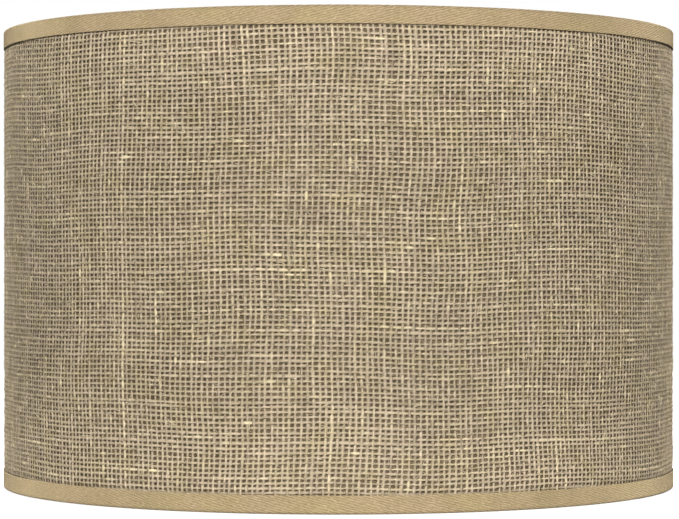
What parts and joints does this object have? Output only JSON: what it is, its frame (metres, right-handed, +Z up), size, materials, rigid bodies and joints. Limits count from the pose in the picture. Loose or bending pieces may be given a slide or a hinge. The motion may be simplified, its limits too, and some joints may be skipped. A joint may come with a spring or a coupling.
{
  "type": "lamp shade",
  "caption": "Hardback drum lamp shade in open-weave natural burlap with folded tape trim, wire rings and a recessed spider fitter for a harp.",
  "frame": {"origin": "centre of the circle that the bottom edge stands on", "axes": "+Z up along the drum's axis, the vertical back seam on the +Y side, the pictured front on the -Y side"},
  "size_m": [0.3795, 0.3801, 0.2551],
  "materials": {
    "burlap": "coarse open plain weave of natural jute, matt",
    "trim_tape": "fine twill tape, matt, folded over the edge",
    "styrene": "warm white translucent sheet, smooth satin",
    "bonding_tape": "translucent double-sided tape",
    "frame_wire": "brass-plated steel, satin",
    "weld": "plated resistance weld, slightly rough"
  },
  "bodies": {
    "root": {"top_ring": "frame_wire", "bottom_ring": "frame_wire", "spider_arm_1": "frame_wire", "spider_arm_2": "frame_wire", "spider_arm_3": "frame_wire", "fitter_washer": "frame_wire", "arm_ring_welds": "weld", "arm_washer_welds": "weld", "liner": "styrene", "seam_tape": "bonding_tape", "burlap_cover": "burlap", "top_trim": "trim_tape", "bottom_trim": "trim_tape"}
  },
  "joints": []
}
